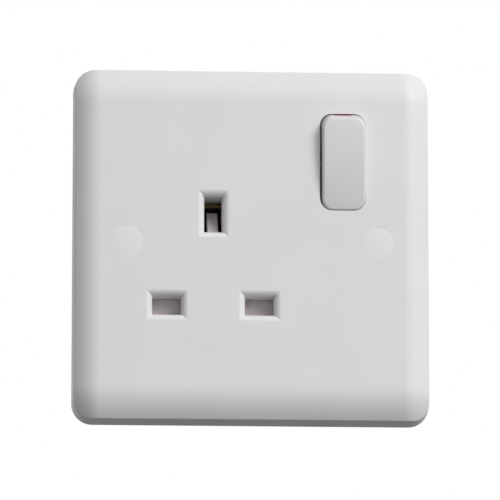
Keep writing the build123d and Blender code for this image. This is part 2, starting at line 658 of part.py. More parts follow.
with BuildPart() as base:
    with BuildSketch(front(BASE_REAR)) as outline:
        with Locations(((BASE_LEFT + BASE_RIGHT) / 2, (BASE_BOTTOM + BASE_TOP) / 2)):
            Rectangle(BASE_RIGHT - BASE_LEFT, BASE_TOP - BASE_BOTTOM)
        # notches for the lugs of the wall box, which the corners' rounds leave room for
        notch_x = FIXING_PITCH / 2 - PILLAR_R - LUG_NOTCH_GAP
        notch_depth = min(-BASE_LEFT, BASE_RIGHT) - notch_x
        for side in (-1, 1):
            with Locations((side * notch_x, 0)):
                Rectangle(
                    PLATE_WIDTH, LUG_NOTCH, mode=Mode.SUBTRACT,
                    align=(Align.MIN if side > 0 else Align.MAX, Align.CENTER),
                )
        fillet(outline.vertices(), min(BASE_CORNER, NOTCH_ROUND * notch_depth))
    extrude(amount=BASE_DEPTH)
    chamfer(base.faces().sort_by(Axis.Y)[-1].edges(), BASE_REAR_EDGE)

    # pockets for the pin grips, the strips and the switch, all on the strips' level
    for span in well_x.values():
        prism(span, well_z, STRIP_REAR, BASE_FRONT, Mode.SUBTRACT)
    runs = (
        (about(NEUTRAL_X, strip_half), (well_z[1], pocket_z[0])),
        (about(SOCKET_X, strip_half), (earth_z[1], pocket_z[0])),
        ((well_x["line"][1], LINE_STRIP_X + line_strip_half), about(LINE_Z, line_strip_half)),
        (about(LINE_STRIP_X, line_strip_half), (LINE_Z, switch_z[0])),
        (switch_x, switch_z),
        ((LINE_TERMINAL_X + terminal_half, switch_x[0]), about(RIVET_TIP.Z, strip_half)),
    )
    for x_span, z_span in runs:
        prism(x_span, z_span, STRIP_REAR, BASE_FRONT, Mode.SUBTRACT)

    # the earth pin's deeper well, and the slot that the shutter's ramp moves down into
    prism(earth_x, earth_z, EARTH_FLOOR, BASE_FRONT, Mode.SUBTRACT)
    ramp_slot = (RAMP_Z - SHUTTER_TRAVEL - WEDGE_WALL, earth_z[0])
    ramp_floor = RAMP_END - SLIDE_GAP
    ramp_half = WEDGE_WIDTH / 2 + SLIDE_GAP
    prism(about(SOCKET_X, ramp_half), ramp_slot, ramp_floor, BASE_FRONT, Mode.SUBTRACT)

    # terminal pockets with their wire entries and screw access holes
    for x in TERMINALS.values():
        prism(about(x, terminal_half), pocket_z, TERMINAL_REAR, BASE_FRONT, Mode.SUBTRACT)
        with BuildSketch(level(BASE_TOP)):
            with Locations((x, WIRE_HEIGHT)):
                Circle(WIRE_R + WIRE_ENTRY_GAP)
        extrude(amount=BASE_WALL + POCKET_GAP, mode=Mode.SUBTRACT)
    access = [(x, TERMINAL_Z) for x in TERMINALS.values()]
    round_column(access, CLAMP_HEAD_R + CLAMP_ACCESS_GAP, BASE_REAR, TERMINAL_REAR, Mode.SUBTRACT)

    # cores from the rear, which leave even walls between the pockets
    cores = (
        ((earth_x[1] + BASE_WALL, BASE_SCREW_RIGHT_X - column_half - BASE_WALL),
         (well_z[1] + BASE_WALL, pocket_z[0] - BASE_WALL)),
        ((BASE_SCREW_RIGHT_X - column_half, switch_x[0] - BASE_WALL),
         (BASE_SCREW_RIGHT_Z[1] + column_half, BASE_SCREW_RIGHT_Z[0] - column_half)),
        ((well_x["neutral"][1] + BASE_WALL, well_x["line"][0] - BASE_WALL),
         (BASE_BOTTOM + BASE_WALL, BASE_SCREW_LEFT_Z[1] - column_half)),
        ((LINE_STRIP_X + line_strip_half + BASE_WALL, BASE_RIGHT - BASE_WALL),
         (BASE_BOTTOM + BASE_WALL, -LUG_NOTCH / 2 - BASE_WALL)),
        ((BASE_LEFT + BASE_WALL, well_x["neutral"][0] - BASE_WALL),
         (BASE_BOTTOM + BASE_WALL, -LUG_NOTCH / 2 - BASE_WALL)),
    )
    for x_span, z_span in cores:
        prism(x_span, z_span, BASE_REAR, BASE_FRONT - BASE_SKIN, Mode.SUBTRACT)

    # posts that close the trunnion notches, and the screw holes
    for side in (-1, 1):
        post = SWITCH_X + side * (SWITCH_ROOM + CHEEK_WALL / 2)
        prism(
            about(post, CHEEK_WALL / 2 - POCKET_GAP), about(SWITCH_Z, POST_WIDTH / 2),
            BASE_FRONT, PIVOT - TRUNNION_R - TRUNNION_FIT,
        )
    round_column(BASE_SCREWS, BASE_SCREW_R + BASE_SCREW_GAP, BASE_REAR, BASE_FRONT, Mode.SUBTRACT)
    round_column(
        BASE_SCREWS, BASE_SCREW_HEAD_R + BASE_SCREW_GAP,
        BASE_REAR, BASE_REAR + BASE_SCREW_SEAT, Mode.SUBTRACT,
    )
base.part.label = "base"
export_step(base.part, "parts/base.step")

# Base screws: self-tapping, from the rear into the faceplate's bosses
with BuildPart() as base_screws:
    for x, z in BASE_SCREWS:
        screw(
            BASE_FRONT + BASE_SCREW_BITE, -1, BASE_DEPTH - BASE_SCREW_SEAT + BASE_SCREW_BITE,
            BASE_SCREW_R, BASE_SCREW_HEAD_R, BASE_SCREW_HEAD_HEIGHT, x, z,
        )
base_screws.part.label = "base_screws"
export_step(base_screws.part, "parts/base_screws.step")

# Neutral contact: the pin grip and a strip up to its terminal
strip_end = TERMINAL_BOTTOM + STRIP_SOCKET
with BuildPart() as neutral_contact:
    pin_grip(NEUTRAL_X, LINE_Z)
    prism(about(NEUTRAL_X, STRIP_WIDTH / 2), (LINE_Z, strip_end), STRIP_REAR, STRIP_FRONT)
neutral_contact.part.label = "neutral_contact"
export_step(neutral_contact.part, "parts/neutral_contact.step")

# Line contact: the pin grip and a strip round to the bracket that the see-saw tips in
with BuildPart() as line_contact:
    pin_grip(LINE_X, LINE_Z)
    bracket_half = BLADE_WIDTH / 2 + BRACKET_GAP
    pad_top = SWITCH_Z + BRACKET_SPAN / 2
    prism(
        (LINE_X, LINE_STRIP_X + LINE_STRIP_WIDTH / 2), about(LINE_Z, LINE_STRIP_WIDTH / 2),
        STRIP_REAR, STRIP_FRONT,
    )
    prism(about(LINE_STRIP_X, LINE_STRIP_WIDTH / 2), (LINE_Z, pad_top), STRIP_REAR, STRIP_FRONT)
    prism(
        about(SWITCH_X, bracket_half + STRIP_THICK), about(SWITCH_Z, BRACKET_SPAN / 2),
        STRIP_REAR, STRIP_FRONT,
    )
    for side in (-1, 1):
        cheek = SWITCH_X + side * (bracket_half + STRIP_THICK / 2)
        prism(
            about(cheek, STRIP_THICK / 2), about(SWITCH_Z, BRACKET_SPAN / 2),
            STRIP_REAR, FULCRUM + BRACKET_LIP,
        )
    with BuildSketch(across(SWITCH_X)):
        with Locations((FULCRUM, SWITCH_Z)):
            Circle(EAR_R + EAR_FIT)
            Rectangle(BRACKET_SPAN, 2 * (EAR_R + EAR_FIT), align=(Align.MIN, Align.CENTER))
    extrude(amount=bracket_half + 2 * STRIP_THICK, both=True, mode=Mode.SUBTRACT)
line_contact.part.label = "line_contact"
export_step(line_contact.part, "parts/line_contact.step")

# Earth contact: two leaves joined by a spine above the pin, and a strip up to its terminal
earth_pinch = PIN_THICK / 2 - GRIP_SQUEEZE + STRIP_THICK / 2
leaf_z = EARTH_Z - EARTH_LEAF_WIDTH / 2
spine_z = EARTH_TOP + EARTH_SPINE_GAP
spine_half = earth_pinch + GRIP_HEEL + STRIP_THICK / 2
with BuildPart() as earth_contact:
    for side in (-1, 1):
        with BuildSketch(level(leaf_z)):
            with BuildLine():
                FilletPolyline(
                    (SOCKET_X + side * (earth_pinch + GRIP_FLARE), PLATE_RISE - EARTH_LIP_DEPTH),
                    (SOCKET_X + side * earth_pinch, PLATE_RISE - EARTH_PINCH_DEPTH),
                    (SOCKET_X + side * (earth_pinch + GRIP_HEEL), EARTH_HEEL),
                    (SOCKET_X + side * (earth_pinch + GRIP_HEEL), EARTH_TAIL),
                    radius=GRIP_BEND,
                )
            trace(line_width=STRIP_THICK)
        extrude(amount=-EARTH_LEAF_WIDTH)
        leaf_root = SOCKET_X + side * (earth_pinch + GRIP_HEEL)
        prism(
            about(leaf_root, STRIP_THICK / 2), (leaf_z, spine_z + STRIP_THICK), EARTH_TAIL, EARTH_HEEL
        )
    prism(about(SOCKET_X, spine_half), (spine_z, spine_z + STRIP_THICK), EARTH_TAIL, EARTH_HEEL)
    prism(about(SOCKET_X, STRIP_WIDTH / 2), (spine_z, strip_end), STRIP_REAR, STRIP_FRONT)
earth_contact.part.label = "earth_contact"
export_step(earth_contact.part, "parts/earth_contact.step")

# Moving contact: a see-saw blade with round ears, and the rivet that makes the circuit
with BuildPart() as moving_contact:
    with BuildSketch(BLADE_FACE):
        RectangleRounded(BLADE_WIDTH, BLADE_LENGTH, BLADE_END)
        with Locations((0, RIVET_PLACE)):
            Circle(RIVET_TAIL_R + RIVET_FIT, mode=Mode.SUBTRACT)
    extrude(amount=BLADE_THICK / 2, both=True)
    ear_end = BLADE_WIDTH / 2 + BRACKET_GAP + STRIP_THICK + POCKET_GAP
    for side in (-1, 1):
        ear_root = FULCRUM_POINT + Vector(side * EAR_CLEAR, 0, 0)
        with BuildSketch(Plane(origin=ear_root, z_dir=(side, 0, 0))):
            Circle(EAR_R)
        extrude(amount=ear_end - EAR_CLEAR)
moving_contact.part.label = "moving_contact"
export_step(moving_contact.part, "parts/moving_contact.step")

with BuildPart() as moving_rivet:
    with BuildSketch(BLADE_FACE.offset(-BLADE_THICK / 2)):
        with Locations((0, RIVET_PLACE)):
            Circle(RIVET_R)
    extrude(amount=-RIVET_HEAD)
    chamfer(moving_rivet.edges().filter_by(GeomType.CIRCLE).sort_by(Axis.Y)[-1], RIVET_BEVEL)
    with BuildSketch(BLADE_FACE.offset(-BLADE_THICK / 2)):
        with Locations((0, RIVET_PLACE)):
            Circle(RIVET_TAIL_R)
    extrude(amount=BLADE_THICK)
moving_rivet.part.label = "moving_rivet"
export_step(moving_rivet.part, "parts/moving_rivet.step")

# Fixed contact: the strip from the line terminal to under the see-saw's end, and its rivet
rivet_face = -RIVET_TIP.Y - CONTACT_GAP
with BuildPart() as fixed_contact:
    terminal_side = LINE_TERMINAL_X + TERMINAL_WIDTH / 2
    prism(
        (terminal_side - STRIP_SOCKET, SWITCH_X + BLADE_WIDTH / 2), about(RIVET_TIP.Z, STRIP_WIDTH / 2),
        STRIP_REAR, STRIP_FRONT,
    )
    round_column(
        [(SWITCH_X, RIVET_TIP.Z)], RIVET_TAIL_R + RIVET_FIT, STRIP_REAR, STRIP_FRONT, Mode.SUBTRACT
    )
fixed_contact.part.label = "fixed_contact"
export_step(fixed_contact.part, "parts/fixed_contact.step")

with BuildPart() as fixed_rivet:
    round_column([(SWITCH_X, RIVET_TIP.Z)], RIVET_R, STRIP_FRONT, rivet_face)
    chamfer(fixed_rivet.edges().filter_by(GeomType.CIRCLE).sort_by(Axis.Y)[0], RIVET_BEVEL)
    round_column([(SWITCH_X, RIVET_TIP.Z)], RIVET_TAIL_R, STRIP_REAR, STRIP_FRONT)
fixed_rivet.part.label = "fixed_rivet"
export_step(fixed_rivet.part, "parts/fixed_rivet.step")

# Terminal blocks: a wire bore, a tapped hole from the rear and a socket for the contact's strip
for name, x in TERMINALS.items():
    with BuildPart() as terminal:
        prism(
            about(x, TERMINAL_WIDTH / 2), (TERMINAL_BOTTOM, TERMINAL_TOP), TERMINAL_REAR, TERMINAL_FRONT
        )
        with BuildSketch(level(TERMINAL_TOP)):
            with Locations((x, WIRE_HEIGHT)):
                Circle(WIRE_R)
        extrude(amount=TERMINAL_LENGTH, mode=Mode.SUBTRACT)
        round_column([(x, TERMINAL_Z)], CLAMP_R + CLAMP_FIT, TERMINAL_REAR, WIRE_HEIGHT, Mode.SUBTRACT)
        if name == "line":
            socket_x = (terminal_side - STRIP_SOCKET - STRIP_FIT, terminal_side)
            socket_z = about(RIVET_TIP.Z, STRIP_WIDTH / 2 + STRIP_FIT)
        else:
            socket_x = about(x, STRIP_WIDTH / 2 + STRIP_FIT)
            socket_z = (TERMINAL_BOTTOM, strip_end + STRIP_FIT)
        prism(socket_x, socket_z, STRIP_REAR - STRIP_FIT, STRIP_FRONT + STRIP_FIT, Mode.SUBTRACT)
    terminal.part.label = f"{name}_terminal"
    export_step(terminal.part, f"parts/{name}_terminal.step")

# Terminal screws, backed out so that the wire bores are clear
with BuildPart() as terminal_screws:
    for x in TERMINALS.values():
        screw(
            WIRE_HEIGHT - WIRE_R - CLAMP_BACK, -1, CLAMP_LENGTH,
            CLAMP_R, CLAMP_HEAD_R, CLAMP_HEAD_HEIGHT, x, TERMINAL_Z,
        )
terminal_screws.part.label = "terminal_screws"
export_step(terminal_screws.part, "parts/terminal_screws.step")
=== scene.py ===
"""Looks of a single switched wall socket: finishes, fine pieces, light and camera over its solids."""

import json
import logging
from dataclasses import dataclass
from enum import Enum
from math import cos, pi, radians, sin, tau
from typing import Sequence, Union

import bmesh
import bpy
import numpy as np
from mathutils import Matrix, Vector


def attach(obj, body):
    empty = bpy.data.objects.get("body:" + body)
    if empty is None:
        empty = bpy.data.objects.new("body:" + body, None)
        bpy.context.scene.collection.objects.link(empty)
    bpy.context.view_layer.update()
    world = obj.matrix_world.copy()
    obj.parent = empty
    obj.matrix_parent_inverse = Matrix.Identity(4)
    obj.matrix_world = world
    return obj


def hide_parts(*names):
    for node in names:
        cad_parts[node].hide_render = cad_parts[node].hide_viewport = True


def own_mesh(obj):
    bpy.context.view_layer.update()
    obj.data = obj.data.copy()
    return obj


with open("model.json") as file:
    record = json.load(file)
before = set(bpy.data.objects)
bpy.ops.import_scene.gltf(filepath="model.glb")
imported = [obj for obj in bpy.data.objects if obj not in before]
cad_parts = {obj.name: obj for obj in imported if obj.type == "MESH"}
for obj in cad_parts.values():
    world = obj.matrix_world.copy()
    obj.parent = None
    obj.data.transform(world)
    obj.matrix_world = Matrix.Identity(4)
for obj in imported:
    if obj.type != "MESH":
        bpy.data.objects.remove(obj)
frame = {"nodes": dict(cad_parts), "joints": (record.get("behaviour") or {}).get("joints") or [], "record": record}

log = logging.getLogger("socket")
# A millimetre, and the distance within which two points become one, in metres
MM = 0.001
MERGE = 2e-07
# The middle value of a noise, and the rays that ease an edge
NOISE_MIDDLE = 0.5
EDGE_SAMPLES = 4

Colour = tuple[float, float, float]
Triple = tuple[float, float, float]
Pair = tuple[float, float]
Value = Union["Signal", float, Sequence[float]]


class Joints:
    """The joints of the frame by their names, in millimetres."""

    def __init__(self, rows: Sequence[dict]) -> None:
        """Keep each joint's row under its name."""
        self.rows = {row["name"]: row for row in rows}

    def place(self, name: str) -> Triple:
        """A point on the joint's axis."""
        return tuple(along / MM for along in self.rows[name]["pos_m"])

    def axis(self, name: str) -> Triple:
        """The direction that the joint slides along or turns about."""
        return tuple(self.rows[name]["axis"])

    def travel(self, name: str) -> float:
        """How far a sliding joint goes from rest."""
        return self.rows[name]["range_m"][1] / MM


JOINTS = Joints(frame["joints"])


class Signal:
    """One output of a shader node, on which Python's operators add Math nodes."""

    def __init__(self, graph: "Graph", socket: bpy.types.NodeSocket | None) -> None:
        """Keep the socket and the graph that further nodes go into."""
        self.graph = graph
        self.socket = socket

    def __add__(self, other: Value) -> "Signal":
        """Sum of two values."""
        return self.graph.maths("ADD", self, other)

    __radd__ = __add__

    def __sub__(self, other: Value) -> "Signal":
        """Difference of two values."""
        return self.graph.maths("SUBTRACT", self, other)

    def __rsub__(self, other: Value) -> "Signal":
        """Difference with the number first, so that 1 - mask works."""
        return self.graph.maths("SUBTRACT", other, self)

    def __mul__(self, other: Value) -> "Signal":
        """Product of two values."""
        return self.graph.maths("MULTIPLY", self, other)

    __rmul__ = __mul__

    def __gt__(self, other: Value) -> "Signal":
        """One where this value is the greater, otherwise zero."""
        return self.graph.maths("GREATER_THAN", self, other)

    def __lt__(self, other: Value) -> "Signal":
        """One where this value is the smaller, otherwise zero."""
        return self.graph.maths("LESS_THAN", self, other)

    def __abs__(self) -> "Signal":
        """The value without its sign."""
        return self.graph.maths("ABSOLUTE", self, 0.0)

    def root(self) -> "Signal":
        """Square root of the value."""
        return self.graph.maths("SQRT", self, 0.0)

    def at_least(self, other: Value) -> "Signal":
        """The greater of two values."""
        return self.graph.maths("MAXIMUM", self, other)

    def step(self, low: float, high: float) -> "Signal":
        """Smooth step from zero at low to one at high."""
        return self.graph.node(
            "ShaderNodeMapRange", {"interpolation_type": "SMOOTHSTEP"},
            {"Value": self, "From Min": low, "From Max": high},
        )


class Graph:
    """A node tree that is filled by one node-making method."""

    def __init__(self, tree: bpy.types.NodeTree) -> None:
        """Empty the tree and keep it."""
        self.tree = tree
        tree.nodes.clear()

    def node(
        self, kind: str, settings: dict | None = None, sockets: dict | None = None, output: str | int = 0
    ) -> Signal:
        """Add a node.

        Args:
            kind: the node's type name.
            settings: the node's own properties, set first.
            sockets: values or signals for its inputs, by name or number.
            output: the output to hand back, by name or number.

        Returns:
            The chosen output, which is empty where the node has none.
        """
        node = self.tree.nodes.new(kind)
        for name, value in (settings or {}).items():
            setattr(node, name, value)
        for name, value in (sockets or {}).items():
            if isinstance(value, Signal):
                self.tree.links.new(value.socket, node.inputs[name])
            else:
                node.inputs[name].default_value = value
        return Signal(self, node.outputs[output] if len(node.outputs) else None)

    def maths(self, operation: str, first: Value, second: Value) -> Signal:
        """Add a Math node on two values."""
        return self.node("ShaderNodeMath", {"operation": operation}, {0: first, 1: second})

    def mix(self, share: Value, first: Signal | Colour, second: Colour) -> Signal:
        """Blend two colours, the second by the given share."""
        under = first if isinstance(first, Signal) else (*first, 1.0)
        return self.node(
            "ShaderNodeMix", {"data_type": "RGBA"}, {0: share, 6: under, 7: (*second, 1.0)}, output=2
        )

    def place(self) -> tuple[Signal, Signal, Signal]:
        """Give the object's own coordinates, one signal for each axis."""
        point = self.node("ShaderNodeTexCoord", output="Object")
        split = self.node("ShaderNodeSeparateXYZ", None, {"Vector": point})
        return tuple(Signal(self, output) for output in split.socket.node.outputs)

    def noise(self, size: float, detail: float = 2.0, stretch: Triple = (1.0, 1.0, 1.0)) -> Signal:
        """Cloudy noise on the object's own coordinates.

        Args:
            size: the clouds' size, in millimetres.
            detail: how many finer layers are added.
            stretch: how much longer the clouds are along each axis.

        Returns:
            The noise, about one half.
        """
        place = self.node("ShaderNodeTexCoord", output="Object")
        scale = tuple(1.0 / (size * MM * along) for along in stretch)
        scaled = self.node("ShaderNodeMapping", {"vector_type": "POINT"}, {"Vector": place, "Scale": scale})
        return self.node("ShaderNodeTexNoise", None, {"Vector": scaled, "Scale": 1.0, "Detail": detail})

    def relief(self, height: Signal, depth: float, edge_radius: float) -> Signal:
        """Ease the edges and lay a fine relief on the surface.

        Args:
            height: the relief, from zero to one.
            depth: its depth, in millimetres.
            edge_radius: the round of the edges, in millimetres.

        Returns:
            The turned normal.
        """
        eased = self.node("ShaderNodeBevel", {"samples": EDGE_SAMPLES}, {"Radius": edge_radius * MM})
        return self.node(
            "ShaderNodeBump", None,
            {"Strength": 1.0, "Distance": depth * MM, "Height": height, "Normal": eased},
        )


def new_material(name: str) -> tuple[bpy.types.Material, Graph]:
    """Make a material and the empty graph that fills it."""
    made = bpy.data.materials.new(name)
    made.use_nodes = True
    return made, Graph(made.node_tree)


class Grain(Enum):
    """The way that a metal's rolling or turning marks run, as a stretch along each axis."""

    NONE = (1.0, 1.0, 1.0)
    ALONG_X = (18.0, 1.0, 1.0)
    ALONG_Z = (1.0, 1.0, 18.0)


@dataclass(frozen=True)
class Moulding:
    """A moulded plastic with clouded colour, a faint peel and eased edges. Sizes are in millimetres."""

    name: str
    colour: Colour
    roughness: float
    clouding: float = 0.02
    cloud_size: float = 16.0
    cloud_band: Pair = (0.3, 0.7)
    cloud_dulling: float = 0.12
    peel_size: float = 1.4
    peel_depth: float = 0.003
    edge_radius: float = 0.12
    gloss: float = 0.3

    def tint(self, graph: Graph, colour: Signal) -> Signal:
        """Leave the moulding's own colour as it is."""
        return colour

    def material(self) -> bpy.types.Material:
        """Make the material.

        Returns:
            A material whose clouds shade the colour and gloss, and whose peel and edges turn the normal.
        """
        made, graph = new_material(self.name)
        cloud = graph.noise(self.cloud_size)
        peel = graph.noise(self.peel_size)
        shade = tuple(channel * (1.0 - self.clouding) for channel in self.colour)
        colour = graph.mix(cloud.step(*self.cloud_band), self.colour, shade)
        shader = graph.node(
            "ShaderNodeBsdfPrincipled", None,
            {
                "Base Color": self.tint(graph, colour),
                "Roughness": (cloud - NOISE_MIDDLE) * self.cloud_dulling + self.roughness,
                "Specular IOR Level": self.gloss,
                "Normal": graph.relief(peel, self.peel_depth, self.edge_radius),
            },
        )
        graph.node("ShaderNodeOutputMaterial", None, {"Surface": shader})
        return made


@dataclass(frozen=True)
class MarkedMoulding(Moulding):
    """The rocker's plastic, with a plain red bar on its upper end that shows while the switch is on.

    The bar lies where a point is at least the end's radius from the pivot, above it, within half a
    width of its middle, and between two heights along the rocker's outward direction.
    """

    pivot: Triple = JOINTS.place("rocker_tip")
    outward: Triple = JOINTS.axis("plunger_slide")
    end_radius: float = 12.15
    half_width: float = 2.1
    heights: Pair = (2.3, 3.3)
    mark: Colour = (0.44, 0.045, 0.05)

    def tint(self, graph: Graph, colour: Signal) -> Signal:
        """Lay the bar over the moulding's own colour."""
        across, deep, high = (
            axis * (1.0 / MM) - middle for axis, middle in zip(graph.place(), self.pivot)
        )
        reach = (deep * deep + high * high).root()
        rise = deep * self.outward[1] + high * self.outward[2]
        inside = (reach > self.end_radius) * (high > 0.0) * (abs(across) < self.half_width)
        low, top = self.heights
        return graph.mix(inside * (rise > low) * (rise < top), colour, self.mark)


@dataclass(frozen=True)
class Metal:
    """A metal, unplated or plated, with grain, dull patches, painted shade in its recesses and eased edges. In
    millimetres.
    """

    name: str
    colour: Colour
    dull: Colour
    roughness: float
    grain: Grain = Grain.NONE
    grain_size: float = 0.12
    grain_depth: float = 0.004
    grain_dulling: float = 0.10
    patch_size: float = 5.0
    patch_detail: float = 4.0
    patch_band: Pair = (0.42, 0.68)
    patch_share: float = 0.8
    patch_dulling: float = 0.16
    # Painted shade: recesses that the occlusion node finds within this distance get a darker colour and a duller
    # gloss
    recess: float = 0.9
    recess_band: Pair = (0.35, 0.97)
    recess_samples: int = 6
    painted_shade_colour: Colour = (0.11, 0.10, 0.09)
    painted_shade_share: float = 0.92
    recess_dulling: float = 0.2
    edge_radius: float = 0.06

    def material(self) -> bpy.types.Material:
        """Make the material.

        Returns:
            A metal whose patches dull the colour and gloss, whose recesses are darkened and dulled as
            painted shade, and whose grain turns the normal.
        """
        made, graph = new_material(self.name)
        patch = graph.noise(self.patch_size, self.patch_detail).step(*self.patch_band)
        grain = graph.noise(self.grain_size, stretch=self.grain.value)
        # Painted shade: the occlusion darkens the colour in recesses and slots, where shade falls
        unoccluded = graph.node(
            "ShaderNodeAmbientOcclusion", {"samples": self.recess_samples, "only_local": True},
            {"Distance": self.recess * MM}, output="AO",
        )
        painted_recess_shade = (1.0 - unoccluded.step(*self.recess_band)) * self.painted_shade_share
        dulled = graph.mix(patch * self.patch_share, self.colour, self.dull)
        dulling = patch * self.patch_dulling + grain * self.grain_dulling + painted_recess_shade * self.recess_dulling
        shader = graph.node(
            "ShaderNodeBsdfPrincipled", None,
            {
                "Base Color": graph.mix(painted_recess_shade, dulled, self.painted_shade_colour),
                "Metallic": 1.0,
                "Roughness": dulling + self.roughness,
                "Normal": graph.relief(grain, self.grain_depth, self.edge_radius),
            },
        )
        graph.node("ShaderNodeOutputMaterial", None, {"Surface": shader})
        return made


# Each slot's finish, and the paler one of the caps
FINISHES = {
    "white_moulding": Moulding("gloss_white", (0.745, 0.736, 0.741), 0.38, edge_radius=0.06, gloss=0.13),
    "cap_white": Moulding("pale_cap", (0.775, 0.768, 0.772), 0.38, edge_radius=0.04, gloss=0.13),
    "rocker_white": MarkedMoulding("satin_white", (0.690, 0.675, 0.687), 0.40, edge_radius=0.06, gloss=0.18),
    # The shutter's white is painted darker and a little warmer: painted shade of the slots that it sits in
    "shutter_white": Moulding("shutter_white_shaded", (0.475, 0.425, 0.433), 0.50),
    "plunger_nylon": Moulding("plain_nylon", (0.66, 0.64, 0.58), 0.44),
    "base_black": Moulding("dark_moulding", (0.030, 0.030, 0.032), 0.42, clouding=0.35, cloud_size=5.0),
    "spring_steel": Metal("drawn_wire", (0.62, 0.62, 0.63), (0.42, 0.41, 0.40), 0.22),
    "zinc_steel": Metal("bright_zinc", (0.70, 0.71, 0.73), (0.52, 0.52, 0.53), 0.26),
    "brass_strip": Metal("rolled_brass", (0.78, 0.60, 0.30), (0.58, 0.42, 0.20), 0.24, Grain.ALONG_Z),
    "brass_block": Metal("machined_brass", (0.76, 0.58, 0.29), (0.60, 0.43, 0.20), 0.20, Grain.ALONG_X),
    "copper_blade": Metal("rolled_copper", (0.76, 0.45, 0.28), (0.50, 0.27, 0.16), 0.24, Grain.ALONG_Z),
    "silver_tip": Metal("contact_silver", (0.86, 0.86, 0.84), (0.66, 0.65, 0.62), 0.20),
}


class Dresser:
    """Makes each finish once and puts it on the solids and the new pieces by their slot."""

    def __init__(self, record: dict) -> None:
        """Make the finishes and read which slot each solid takes."""
        self.materials = {slot: finish.material() for slot, finish in FINISHES.items()}
        self.slots = {row["node"]: row["material_slot"] for row in record["subparts"]}

    def dress(self, piece: bpy.types.Object, finish: str) -> None:
        """Give a piece one finish and no other."""
        piece.data.materials.clear()
        piece.data.materials.append(self.materials[finish])

    def dress_solids(self, nodes: dict[str, bpy.types.Object]) -> None:
        """Dress every solid that came with the frame."""
        for name, node in nodes.items():
            self.dress(node, self.slots[name])
            log.info("%s dressed as %s", name, self.slots[name])


def ring_faces(rows: int, columns: int) -> np.ndarray:
    """Faces of a grid whose columns close into a ring.

    Args:
        rows: the number of rings.
        columns: the number of points on each ring.

    Returns:
        The four corners of each face, one row for each.
    """
    row, column = np.meshgrid(np.arange(rows - 1), np.arange(columns), indexing="ij")
    after = (column + 1) % columns
    corners = (
        row * columns + column, row * columns + after,
        (row + 1) * columns + after, (row + 1) * columns + column,
    )
    return np.stack(corners, axis=-1).reshape(-1, 4)


def sheet_faces(rows: int, columns: int) -> np.ndarray:
    """Faces of an open grid, as the four corners of each."""
    row, column = np.meshgrid(np.arange(rows - 1), np.arange(columns - 1), indexing="ij")
    first = row * columns + column
    return np.stack((first, first + 1, first + columns + 1, first + columns), axis=-1).reshape(-1, 4)


@dataclass(frozen=True)
class Shell:
    """A surface as points in millimetres in its own frame, and its faces."""

    points: np.ndarray
    faces: np.ndarray

    def placed(self, origin: Triple, across: Triple, up: Triple, along: Triple, turn: float = 0.0) -> "Shell":
        """Carry the surface to its seat.

        A point (u, v, s) is first turned about the s axis, and then goes to
        origin + u across + v up + s along.

        Args:
            origin: the seat's place in the shared frame.
            across: the direction of u.
            up: the direction of v.
            along: the direction of s.
            turn: the turn about s, in degrees.

        Returns:
            The surface in the shared frame.
        """
        u, v, s = self.points.T
        cosine, sine = cos(radians(turn)), sin(radians(turn))
        turned_points = np.stack((u * cosine - v * sine, u * sine + v * cosine, s), axis=-1)
        return Shell(np.asarray(origin) + turned_points @ np.array((across, up, along)), self.faces)


def turned(profile: Sequence[Pair], steps: int) -> Shell:
    """Carry a profile of radius and height round the s axis.

    A profile point (r, s) at the angle a is (r cos a, r sin a, s).

    Args:
        profile: the points, from pole to pole.
        steps: the number of points round the axis.

    Returns:
        The closed surface.
    """
    radius, height = np.array(profile, dtype=float).T
    angle = np.linspace(0.0, tau, steps, endpoint=False)
    points = np.stack(
        (
            np.outer(radius, np.cos(angle)), np.outer(radius, np.sin(angle)),
            np.repeat(height[:, None], steps, axis=1),
        ),
        axis=-1,
    )
    return Shell(points.reshape(-1, 3), ring_faces(len(radius), steps))


def rounded(middle: Pair, radius: float, end: float, steps: int = 6) -> list[Pair]:
    """Points of a round on a profile, about its middle and from level to an angle in degrees."""
    angle = np.radians(np.linspace(0.0, end, steps))
    return list(zip(middle[0] + radius * np.cos(angle), middle[1] + radius * np.sin(angle)))


class Workshop:
    """Turns surfaces into pieces that ride on a body and are dressed by their slot."""

    def __init__(self, dresser: Dresser) -> None:
        """Keep the dresser that gives each piece its finish."""
        self.dresser = dresser

    def mesh(self, name: str, shells: Sequence[Shell], crease: float) -> bpy.types.Mesh:
        """Join several surfaces into one mesh.

        Args:
            name: the mesh's name.
            shells: the surfaces, in millimetres in the shared frame.
            crease: the angle past which an edge stays sharp, in degrees.

        Returns:
            The mesh in metres, with its seams and poles closed and its faces outwards.
        """
        starts = np.cumsum([0] + [len(shell.points) for shell in shells[:-1]])
        points = np.concatenate([shell.points for shell in shells]) * MM
        faces = np.concatenate([shell.faces + start for shell, start in zip(shells, starts)])
        mesh = bpy.data.meshes.new(name)
        mesh.from_pydata(points.tolist(), [], faces.tolist())
        work = bmesh.new()
        work.from_mesh(mesh)
        bmesh.ops.remove_doubles(work, verts=work.verts, dist=MERGE)
        bmesh.ops.dissolve_degenerate(work, edges=work.edges, dist=MERGE)
        bmesh.ops.recalc_face_normals(work, faces=work.faces)
        work.to_mesh(mesh)
        work.free()
        mesh.shade_smooth()
        mesh.set_sharp_from_angle(angle=radians(crease))
        return mesh

    def piece(
        self, name: str, shells: Sequence[Shell], body: str, slot: str,
        stands_for: Sequence[str] = (), crease: float = 40.0, finish: str = "",
    ) -> bpy.types.Object:
        """Make one piece of several surfaces.

        Args:
            name: the piece's name.
            shells: its surfaces, in millimetres in the shared frame.
            body: the body that it moves with.
            slot: the record's material slot.
            stands_for: the solids that it is shown in place of.
            crease: the angle past which an edge stays sharp, in degrees.
            finish: the finish, where it isn't the slot's own.

        Returns:
            The finished piece.
        """
        mesh = self.mesh(name, shells, crease)
        piece = bpy.data.objects.new(name, mesh)
        bpy.context.scene.collection.objects.link(piece)
        self.dresser.dress(piece, finish or slot)
        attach(piece, body)
        if stands_for:
            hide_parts(*stands_for)
        log.info("%s made with %d faces", name, len(mesh.polygons))
        return piece


